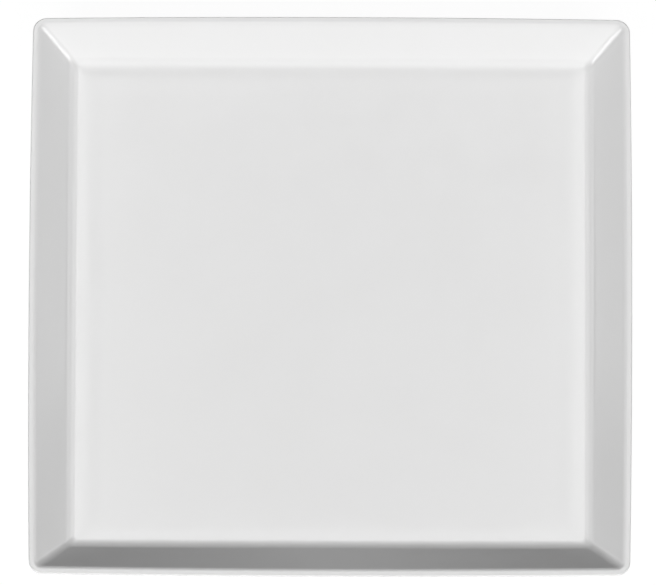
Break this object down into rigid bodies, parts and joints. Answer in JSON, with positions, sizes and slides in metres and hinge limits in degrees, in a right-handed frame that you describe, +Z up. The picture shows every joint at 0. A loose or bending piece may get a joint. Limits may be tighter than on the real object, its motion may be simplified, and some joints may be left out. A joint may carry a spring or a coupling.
{
  "type": "square plate",
  "caption": "Square white porcelain dinner plate: flat floor, sloping mitred walls, narrow rim and a bare foot ring, glazed inside and out, for serving food.",
  "frame": {"origin": "middle of the square that the foot ring stands on", "axes": "+Z up through the middle of the plate, X and Y along its sides"},
  "size_m": [0.26, 0.26, 0.0165],
  "materials": {
    "bare_porcelain": "unglazed fired porcelain, fine dry grain, ground smooth on the standing face",
    "white_glaze": "glossy clear glaze over white porcelain"
  },
  "bodies": {
    "root": {"porcelain_body": "bare_porcelain", "face_glaze": "white_glaze", "base_glaze": "white_glaze"}
  },
  "joints": []
}
